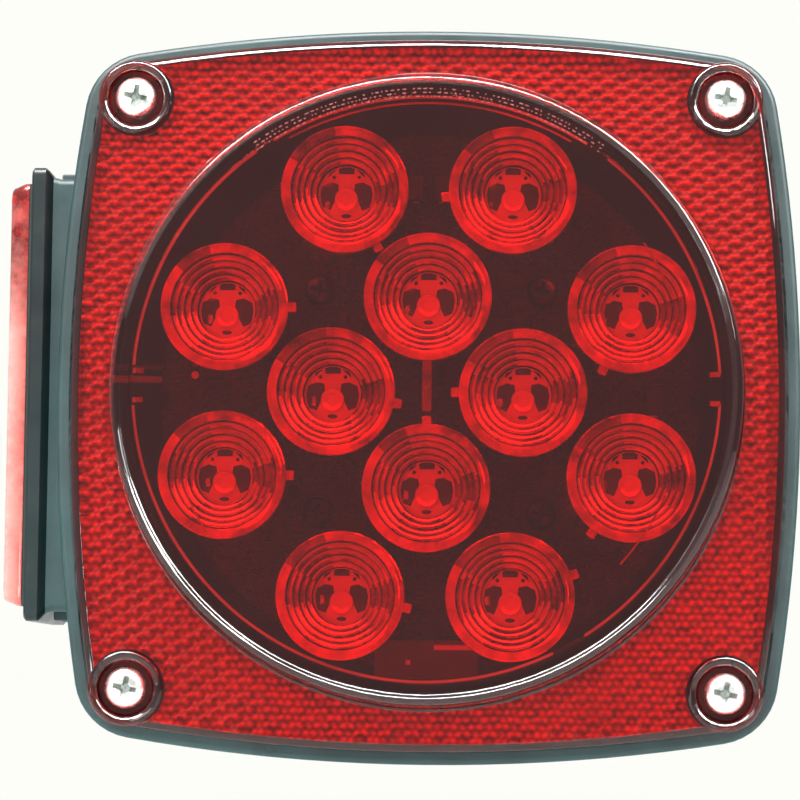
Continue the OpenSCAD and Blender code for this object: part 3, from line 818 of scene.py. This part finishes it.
def led(i):
    node = f"led_{i:02d}"
    x, z = centre(node)
    bm = bmesh.new()
    round_box(bm, (x - 3.8, BOARD_FRONT - 2.55, z - 3.8), (x + 3.8, BOARD_FRONT - 0.6, z + 3.8), 0.35, 2, 0)
    merge(bm, PLATE, 1, Vector((x, BOARD_FRONT - 2.85, z)))
    for sx, sz in CORNERS:
        px, pz = x + sx * 2.6, z + sz * 2.6
        round_box(bm, (px - 0.3, BOARD_FRONT - 0.8, pz - 0.3), (px + 0.3, BOARD_FRONT, pz + 0.3), 0.08, 1, 1)
    # reflector cup and the small light-giving chip in it
    lathe(bm, [(1.05, 2.86), (1.9, 2.86), (1.95, 3.25), (1.75, 3.4), (1.15, 3.0)], (x, z), BOARD_FRONT, 40, [1] * 5)
    round_box(bm, (x - 0.42, BOARD_FRONT - 3.25, z - 0.42), (x + 0.42, BOARD_FRONT - 2.84, z + 0.42), 0.08, 1, 3)
    dome = [(2.4 * math.cos(math.pi / 2 * k / 8), 2.9 + 2.0 * math.sin(math.pi / 2 * k / 8)) for k in range(9)]
    dome[-1] = (0, 4.9)
    lathe(bm, dome, (x, z), BOARD_FRONT, 40, [2] * 9, wrap=False)
    mats = [M["led"], M["frame"], M["dome"], M["chip_glow"]]
    piece(f"led_piece_{i:02d}", bm, mats, replaces=[node], normals=False)


def phosphor():
    m = Mat("led_die")
    tone = m.ramp(m.noise(1500, 3, 0.5), "#e8b8a8", "#ffe0d4")
    return m.done(m.principled(tone, m.span(m.noise(2000, 2, 0.5), 0.2, 0.4)))


M["chip_glow"] = phosphor()


def optic(i):
    node = f"optic_{i:02d}"
    x, z = centre(f"led_{i:02d}")
    h = 18.0
    # material indices; 2 is the lead frame and 3 the LED body
    red, clear, groove_shade, crest_highlight, shade, band_lit = 0, 1, 4, 5, 6, 7
    turn = rng.uniform(-12, 12)
    prof = [(5.5, 0.0, red), (6.3, 0.0, red), (9.85, 15.0, red), (10.05, 15.7, red), (10.1, 17.55, red)]
    prof += [(10.0, 17.85, red), (9.8, 18.0, red), (9.2, 17.98, red), (8.55, 17.7, groove_shade)]
    # each ring has a pale crest for painted highlights and a dark groove for painted shade
    for k, r in enumerate((7.9, 7.0, 5.95, 5.0)):
        q = 17.0 - 0.8 * k
        prof += [(r + 0.5, q - 0.4, groove_shade), (r + 0.42, q - 0.36, crest_highlight), (r + 0.22, q - 0.12, crest_highlight)]
        prof += [(r, q, red), (r - 0.2, q - 0.1, red), (r - 0.42, q - 0.34, groove_shade)]
    prof += [(4.6, 13.3, clear), (3.6, 13.6, clear), (2.4, 13.85, clear), (1.2, 13.97, clear)]
    prof += [(0.0, 14.0, clear), (0.0, 5.8, clear), (5.5, 5.8, red)]
    # arcs of each crest that take the painted highlight; elsewhere the crest stays plain red
    arcs = []
    for k in range(4):
        a = rng.uniform(-9, 9)
        arcs.append(((20 + a, 152 + a), (192 + a * 2, 232 + a), (302 + a, 340 + a * 2)))
    # sectors where the red takes the darker copy: painted shade
    shaded_spans = ((104 + rng.uniform(-8, 8), 148), (-16, 16 + rng.uniform(-6, 6)), (296, 322 + rng.uniform(-6, 6)))

    def look(n, angle):
        kind = prof[n][2]
        if kind == crest_highlight:
            return crest_highlight if any(a0 <= angle <= a1 for a0, a1 in arcs[(n - 9) // 6 % 4]) else red
        # the outer band is paler on its lower left: painted light
        if kind == red and 3 < n < 8 and 150 < (angle - turn) % 360 < 290:
            return band_lit
        spans = shaded_spans[:3 if n > 8 else 1]
        if kind == red and n > 4 and any(a0 <= angle <= a1 or a0 <= angle - 360 <= a1 for a0, a1 in spans):
            return shade
        return kind

    bm = bmesh.new()
    lathe(bm, [(r, q) for r, q, _ in prof], (x, z), BOARD_FRONT, 72, look)
    reach = 8.0 if i == 10 else 1.2
    tab = block((9.2, -1.0, -0.8), (10.1 + reach, 1.0, 0.8), 0.35, 2)
    spin = Matrix.Rotation(-math.radians(TABS[i - 1]), 4, "Y")
    tab.transform(Matrix.Translation((x, BOARD_FRONT - h + 1.4, z)) @ spin)
    # the long tab of optic 10 takes the darker red: painted shade
    merge(bm, tab, shade if i == 10 else red)
    tab.free()
    bmesh.ops.recalc_face_normals(bm, faces=bm.faces)
    # what shows in the window of the optic: the lead frame of the LED, enlarged by the optic
    lathe(bm, [(0, 12.2), (4.72, 12.2), (4.72, 11.9), (0, 11.9)], (x, z), BOARD_FRONT, 40, [3] * 4)
    merge(bm, PLATE, 2, Vector((x, BOARD_FRONT - 12.3, z)))
    cup = [(1.0, 12.4), (1.75, 12.4), (1.85, 12.75), (1.7, 12.9), (1.1, 12.55)]
    lathe(bm, cup, (x, z - 0.9), BOARD_FRONT, 32, [2] * 5)
    keys = ("optic", "optic_clear", "frame", "led", "optic_groove", "optic_crest", "optic_shade", "optic_band")
    mats = [M[key] for key in keys]
    piece(f"optic_piece_{i:02d}", bm, mats, replaces=[node], angle=24, normals=False)


for i in range(1, 13):
    led(i)
    optic(i)


# ---------------------------------------------------------------- screws

def phillips(bm, at, seat, r, h, shank, length, thread=1.2):
    """Pan head with a cross recess on a threaded shank, axis along Y, head towards -Y."""
    prof = [(0, 0), (r * 0.97, 0), (r, 0.12 * h), (r, 0.42 * h), (r * 0.97, 0.58 * h), (r * 0.88, 0.78 * h)]
    prof += [(r * 0.7, 0.93 * h), (r * 0.45, h), (0, h * 1.01)]
    head = turned(prof, at, seat, 56)
    cuts = []
    for turn in (0, 90):
        c = bmesh.new()
        w, d = r * 0.13, h * 0.62
        top, low = r * 0.6, r * 0.22
        pts = [(-top, 0.3), (top, 0.3), (top, -0.02), (low, -d), (-low, -d), (-top, -0.02)]
        loft(c, [[(p, -h - q, s * w * (1.0 if q > -0.1 else 0.75)) for p, q in pts] for s in SIDES])
        c.transform(Matrix.Translation((at[0], seat, at[1])) @ Matrix.Rotation(math.radians(turn + 12), 4, "Y"))
        cuts.append(c)
    middle = [(0, h + 0.3), (r * 0.3, h + 0.3), (r * 0.25, h), (0.05, h * 0.32), (0, h * 0.3)]
    cuts.append(turned(middle, at, seat, 16))
    solid = combine(temp(head), (), cuts)
    start = len(bm.faces)
    merge(bm, solid, 0)
    solid.free()
    # faces inside the cross recess take slot 1, a darker material than the head: painted shade
    for f in bm.faces[start:]:
        c = f.calc_center_median()
        inset = math.hypot(c.x - at[0], c.z - at[1]) < r * 0.62 and c.y > seat - h * 0.93
        f.material_index = 1 if inset else 0
    # thread as a screw-wound profile
    turns = (length - 1.5) / thread
    seg, rows = 20, int(turns * 6)
    grid = []
    for j in range(rows + 1):
        y = seat + 0.05 + (length - 1.5) * j / rows
        grid.append([])
        for k in range(seg):
            a = TAU * k / seg
            ph = (y / thread - k / seg) % 1.0
            rr = shank * (0.76 + 0.24 * max(0.0, 1 - abs(ph - 0.5) * 3.2))
            grid[-1].append((at[0] + rr * math.cos(a), y, at[1] + rr * math.sin(a)))
    angles = [TAU * k / seg for k in range(seg)]
    grid.append([(at[0] + 0.15 * math.cos(a), seat + length, at[1] + 0.15 * math.sin(a)) for a in angles])
    loft(bm, grid)


bm = bmesh.new()
for sx, sz in CORNERS:
    phillips(bm, (sx * SCREW_AT, sz * SCREW_AT), FLANGE_Y + 1.5, 3.2, 2.3, 1.7, 14)
piece("lens_screw_set", bm, [M["steel"], M["steel_dark"]], replaces=["lens_screws"], angle=30)
bm = bmesh.new()
for sx, sz in CORNERS:
    phillips(bm, (sx * BOARD_SCREW_AT, sz * BOARD_SCREW_AT), BOARD_FRONT, 2.5, 1.7, 1.2, 12, 0.9)
# the board screws' recesses take the darker component plastic: painted shade
piece("board_screw_set", bm, [M["black_steel"], M["chip"]], replaces=["board_screws"], angle=30)

# ---------------------------------------------------------------- parts on the board

bm = bmesh.new()
for sx in SIDES:
    for z in (-17.6, -12.4, 13.4, 19.8):
        x = sx * 14.2
        round_box(bm, (x - 0.6, BOARD_FRONT - 0.6, z - 1.1), (x + 0.6, BOARD_FRONT, z + 1.1), 0.08, 1, 0)
        for s in SIDES:
            ez = z + s * 1.35
            round_box(bm, (x - 0.6, BOARD_FRONT - 0.56, ez - 0.25), (x + 0.6, BOARD_FRONT, ez + 0.25), 0.06, 1, 1)
piece("resistor_set", bm, [M["chip"], M["black_steel"]], replaces=["board_resistors"])
bm = bmesh.new()
for x, z in ((1.8, 34.6), (-2.6, 34.6), (36.2, 0)):
    round_box(bm, (x - 1.2, BOARD_FRONT - 2, z - 2.0), (x + 1.2, BOARD_FRONT - 0.1, z + 2.0), 0.2, 2, 0)
    for s in SIDES:
        ez = z + s * 1.95
        round_box(bm, (x - 0.7, BOARD_FRONT - 0.35, ez - 0.25), (x + 0.7, BOARD_FRONT, ez + 0.25), 0.08, 1, 1)
piece("diode_set", bm, [M["chip"], M["steel"]], replaces=["board_diodes"])

# licence hood: thin walls with rounded rims
hl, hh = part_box("licence_hood")
hx, hy0, hy1, hz0, hz1 = hh.x * 1000, hl.y * 1000, hh.y * 1000, hl.z * 1000, hh.z * 1000
bm = bmesh.new()
w = 0.7
round_box(bm, (-hx, hy0, hz1 - w), (hx, hy1, hz1), 0.25, 2, 0)
round_box(bm, (-hx, hy0, hz0), (-hx + w, hy1, hz1 - w * 0.4), 0.25, 2, 0)
round_box(bm, (hx - w, hy0, hz0), (hx, hy1, hz1 - w * 0.4), 0.25, 2, 0)
round_box(bm, (-hx + w * 0.4, hy0, hz0), (hx - w * 0.4, hy0 + w, hz1 - w * 0.4), 0.25, 2, 0)
# a bright red strip along the top of the hood's front edge: a painted highlight
round_box(bm, (1.2, hy0 - 0.12, hz1 - 1.5), (hx - 0.8, hy0 + 0.3, hz1 - 0.7), 0.1, 1, 1)
round_box(bm, (-3.3, hy0 - 0.12, -42.4), (-2.5, hy0 + 0.3, -41.6), 0.15, 2, 2)
mats = [M["dark"], M["marker_prism"], M["white"]]
piece("licence_hood_shell", bm, mats, replaces=["licence_hood"])

# licence window: flutes across the underside
wl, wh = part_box("licence_window")
bm = bmesh.new()
x0, x1, y0, y1 = wl.x * 1000, wh.x * 1000, wl.y * 1000, wh.y * 1000
z0, z1 = wl.z * 1000, wh.z * 1000
round_box(bm, (x0, y0, z1 - 1.4), (x1, y1, z1), 0.25, 2)
flutes = 12
ix, iy0, iy1 = 15.9, y0 + 2.6, y1 - 2.6
pts = []
for k in range(flutes):
    for q in range(6):
        t = (k + q / 6) / flutes
        pts.append((-ix + 2 * ix * t, z0 + 0.25 + 0.5 * abs(math.sin(math.pi * q / 6)) * -1 + 0.5))
pts += [(ix, z0 + 0.75), (ix, z1 - 1.0), (-ix, z1 - 1.0)]
loft(bm, [[(x, y, z) for x, z in pts] for y in (iy0, iy1)])
piece("licence_window_lens", bm, [M["clear"]], replaces=["licence_window"], angle=50)

# ---------------------------------------------------------------- side marker lens

def marker_lens():
    bm = bmesh.new()
    r = 1.4

    def ring(x, d):
        hz, hy = MZ - d, (MY1 - MY0) / 2 - d
        pts = []
        for s, (sz, sy) in enumerate(((1, 1), (-1, 1), (-1, -1), (1, -1))):
            for k in range(6):
                a = math.pi / 2 * (k / 5)
                if s % 2 == 0:
                    u, v = math.cos(a), math.sin(a)
                else:
                    u, v = math.sin(a), math.cos(a)
                pts.append((x, MID_Y + sy * (hy - r + r * v), sz * (hz - r + r * u)))
        return pts

    steps = [(MX0, 1.5), (MX0 + 0.12, 1.0), (MX0 + 0.45, 0.7), (MX0 + 0.9, 0.55)]
    steps += [(MX1 - 0.7, 0.02), (MX1, 0.0), (MX1, 1.9), (MX0 + 1.7, 2.5)]
    loft(bm, [ring(x, d) for x, d in steps])
    piece("marker_lens_moulding", bm, [M["marker_clear"]], replaces=["marker_lens"], angle=35)
    # rows of prisms on the inside of the face and along its front wall
    pr = bmesh.new()
    step = 2.25
    face_x, wall_y = MX0 + 1.9, MY0 + 1.35
    for k in range(int((2 * MZ - 6) / step)):
        z = -MZ + 3 + step * (k + 0.5)
        z0, z1 = z - step / 2, z + step / 2
        loft(pr, [[(face_x, y, z0), (face_x, y, z1), (MX0 + 3.0, y, z)] for y in (MID_Y - 12.2, MID_Y + 12.2)])
        loft(pr, [[(x, wall_y, z0), (x, wall_y, z1), (x, wall_y + 0.95, z)] for x in (MX0 + 1.2, MX1 - 0.3)])
    piece("marker_prisms", pr, [M["marker_prism"]], angle=20)


marker_lens()

# ---------------------------------------------------------------- studs, washers, nuts, grommet

def stud(side, name):
    x = side * STUD_X
    shank = [(0, 8.2), (6.6, 8.2), (7, 7.8), (7, 6.3), (3.45, 6.2), (3.45, 0.1)]
    shank += [(3.175, 0.0), (3.175, -3.2), (2.75, -3.4), (0, -3.4)]
    bm = turned(shank, (x, 0), 0, 48)
    pitch, length, start = 1.27, 15.6, 3.3
    seg, rows = 32, 110
    grid = []
    for j in range(rows + 1):
        y = start + length * j / rows
        fade = min(1.0, (length - length * j / rows) / 1.2 + 0.12)
        row = []
        for k in range(seg):
            a = TAU * k / seg
            ph = (y / pitch - k / seg) % 1.0
            tri = max(0.0, min(1.0, 1.22 - abs(ph - 0.5) * 2.6))
            rr = (2.48 + 0.54 * tri) * (0.86 + 0.14 * fade)
            row.append((x + rr * math.cos(a), y, rr * math.sin(a)))
        grid.append(row)
    angles = [TAU * k / seg for k in range(seg)]
    grid.append([(x + 2.0 * math.cos(a), start + length + 0.1, 2.0 * math.sin(a)) for a in angles])
    loft(bm, grid)
    piece(name, bm, [M["steel"]], replaces=["stud_left" if side < 0 else "stud_right"], angle=40)


def nut(side, name, node, body):
    x = side * STUD_X
    a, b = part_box(node)
    y0, y1 = a.y * 1000, b.y * 1000
    tall = y1 - y0
    flat = 11.11 / 2
    c = flat / math.cos(math.pi / 6)
    hexa = bmesh.new()
    pts = [(x + c * math.cos(TAU * k / 6), c * math.sin(TAU * k / 6)) for k in range(6)]
    loft(hexa, [[(px, y, pz) for px, pz in pts] for y in (y0, y1)])
    barrel = [(0, 0), (flat * 0.99, 0), (c + 0.1, -0.75), (c + 0.1, -tall + 0.75), (flat * 0.99, -tall), (0, -tall)]
    bore = [(0, 1), (3.9, 1), (3.5, 0), (3.06, -0.5), (3.06, -tall + 0.5), (3.5, -tall), (3.9, -tall - 1), (0, -tall - 1)]
    rounded = turned(barrel, (x, 0), y0, 72)
    bm = combine(temp(hexa), (), [turned(bore, (x, 0), y0, 48)], [rounded])
    piece(name, bm, [M["steel"]], body, [node], angle=25)


def washer(side, name, node, body):
    x = side * STUD_X
    a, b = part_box(node)
    y0, y1 = a.y * 1000, b.y * 1000
    tall = y1 - y0
    ring = [(3.08, 0), (5.6, 0), (5.75, -0.12), (5.75, -tall + 0.12), (5.6, -tall), (3.08, -tall)]
    bm = turned(ring, (x, 0), y0, 56)
    teeth = 14
    twist = Matrix.Rotation(math.radians(16), 4, "X")
    for k in range(teeth):
        t = block((5.4, -0.32, -0.75), (6.95, 0.32, 0.75), 0.1, 2)
        spin = Matrix.Rotation(TAU * k / teeth, 4, "Y")
        t.transform(Matrix.Translation((x, (y0 + y1) / 2, 0)) @ spin @ twist)
        merge(bm, t, 0)
        t.free()
    piece(name, bm, [M["steel"]], body, [node], angle=30)


for side, tag in zip(SIDES, ("left", "right")):
    stud(side, f"stud_piece_{tag}")
    washer(side, f"washer_piece_{tag}", f"washer_{tag}", f"{tag}_washer")
    nut(side, f"nut_piece_{tag}", f"nut_{tag}", f"{tag}_nut")

bm = turned([
    (3.0, 6.2), (3.0, 0.6), (3.35, 0.25), (3.9, 0.2), (7.2, 0.2), (7.75, 0.4), (7.95, 0.9), (7.9, 1.5), (5.0, 1.6),
    (4.95, 5.0), (7.0, 5.0), (7.15, 5.3), (7.0, 5.7), (5.2, 6.5), (3.4, 6.6),
], (0, GROMMET_Z), 0, 64)
for k in range(8):
    rib = block((4.0, -0.08, -0.25), (7.3, 0.12, 0.25), 0.08, 1)
    rib.transform(Matrix.Translation((0, -0.2, GROMMET_Z)) @ Matrix.Rotation(TAU * k / 8, 4, "Y"))
    merge(bm, rib, 0)
    rib.free()
piece("grommet_piece", bm, [M["rubber"]], replaces=["wire_grommet"], angle=40)

# ---------------------------------------------------------------- carried-over CAD nodes

FINISH = {
    "lens_gasket": "rubber", "circuit_board": "board", "marker_board": "board", "current_regulator": "chip",
    "smoothing_capacitor": "can", "supply_terminals": "brass", "licence_leds": "white", "marker_gasket": "rubber",
    "marker_leds": "white", "marker_lead_positive": "brown", "marker_lead_ground": "white", "stud_seals": "rubber",
}
for node, key in FINISH.items():
    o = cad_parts[node]
    o.data.materials.clear()
    o.data.materials.append(M[key])

# ---------------------------------------------------------------- stage, light and camera

def stage():
    me = bpy.data.meshes.new("floor")
    bm = bmesh.new()
    bmesh.ops.create_grid(bm, x_segments=8, y_segments=8, size=1.1)
    bm.transform(Matrix.Translation((0, 0, -0.13)))
    bm.to_mesh(me)
    bm.free()
    m = Mat("floor_paper")
    tone = m.ramp(m.noise(3, 3, 0.5), "#ececea", "#f4f4f1")
    me.materials.append(m.done(m.principled(tone, m.span(m.noise(40, 2, 0.5), 0.7, 0.9))))
    o = add_object("floor", me)


stage()


def area(name, at, aim, size, power, color=(1, 1, 1)):
    la = bpy.data.lights.new(name, "AREA")
    la.shape = "RECTANGLE"
    la.size, la.size_y = size
    la.energy = power
    la.color = color
    o = add_object(name, la)
    o.location = at
    o.rotation_euler = (Vector(aim) - Vector(at)).to_track_quat("-Z", "Y").to_euler()
    return o


area("key", (-0.15, -0.45, 0.85), (0, -0.04, 0), (0.7, 0.12), 7.0)
area("side", (0.75, -0.35, 0.4), (0, -0.04, 0), (0.1, 0.4), 2.2)
area("soft", (-0.5, -0.8, 0.5), (0, -0.04, 0), (0.4, 0.4), 3.0)
area("strip", (-0.36, -0.72, -0.12), (-0.06, -0.02, 0), (0.07, 0.26), 1.0)
area("low", (-0.55, -0.35, -0.11), (0, -0.04, 0), (0.08, 0.02), 0.12)
for deg in (36, 58, 80, 102, 124):
    t = math.radians(deg)
    g = area(f"gleam_{deg}", (0.8 * math.cos(t), -0.46, 0.8 * math.sin(t)), (0, -0.05, 0), (0.3, 0.3), 13.0)
    g.visible_diffuse = False
area("back", (0.2, 0.9, 0.8), (0, 0, 0), (0.6, 0.6), 5.0)

# the sky is brighter above and to the left; the camera itself sees plain paper
world = bpy.data.worlds.new("studio")
bpy.context.scene.world = world
world.use_nodes = True
wt = world.node_tree
wt.nodes.clear()
wo = wt.nodes.new("ShaderNodeOutputWorld")
bg_cam = wt.nodes.new("ShaderNodeBackground")
bg_cam.inputs["Color"].default_value = (0.985, 0.99, 0.945, 1)
bg_cam.inputs["Strength"].default_value = 1.0
bg_env = wt.nodes.new("ShaderNodeBackground")
coords = wt.nodes.new("ShaderNodeTexCoord")
dot = wt.nodes.new("ShaderNodeVectorMath")
dot.operation = "DOT_PRODUCT"
dot.inputs[1].default_value = (-0.45, -0.1, 0.85)
wt.links.new(coords.outputs["Generated"], dot.inputs[0])
mr = wt.nodes.new("ShaderNodeMapRange")
for key, v in (("From Min", -1.0), ("From Max", 1.0), ("To Min", 0.2), ("To Max", 0.95)):
    mr.inputs[key].default_value = v
wt.links.new(dot.outputs["Value"], mr.inputs["Value"])
wt.links.new(mr.outputs["Result"], bg_env.inputs["Strength"])
bg_env.inputs["Color"].default_value = (0.98, 1.0, 1.0, 1)
lp = wt.nodes.new("ShaderNodeLightPath")
mx = wt.nodes.new("ShaderNodeMixShader")
wt.links.new(lp.outputs["Is Camera Ray"], mx.inputs["Fac"])
wt.links.new(bg_env.outputs["Background"], mx.inputs[1])
wt.links.new(bg_cam.outputs["Background"], mx.inputs[2])
wt.links.new(mx.outputs["Shader"], wo.inputs["Surface"])

scene = bpy.context.scene
scene.view_settings.view_transform = "Standard"
scene.view_settings.look = "None"
scene.cycles.transparent_max_bounces = 24
scene.cycles.max_bounces = 10

AZ, EL, DIST, ROLL, LENS_MM = -2.0, -5.2, 0.50, 0.6, 144.0
TARGET = Vector((-0.0042, -0.043, -0.00126))
az, el = math.radians(AZ), math.radians(EL)
away = Vector((-math.sin(az) * math.cos(el), -math.cos(az) * math.cos(el), math.sin(el)))
cam_data = bpy.data.cameras.new("camera")
cam_data.lens = LENS_MM
cam_data.sensor_width = 36
cam_data.clip_start = 0.01
cam = add_object("camera", cam_data)
cam.location = TARGET + away * DIST
look = (-away).to_track_quat("-Z", "Y").to_matrix().to_4x4()
cam.rotation_euler = (look @ Matrix.Rotation(math.radians(ROLL), 4, "Z")).to_euler()
scene.camera = cam
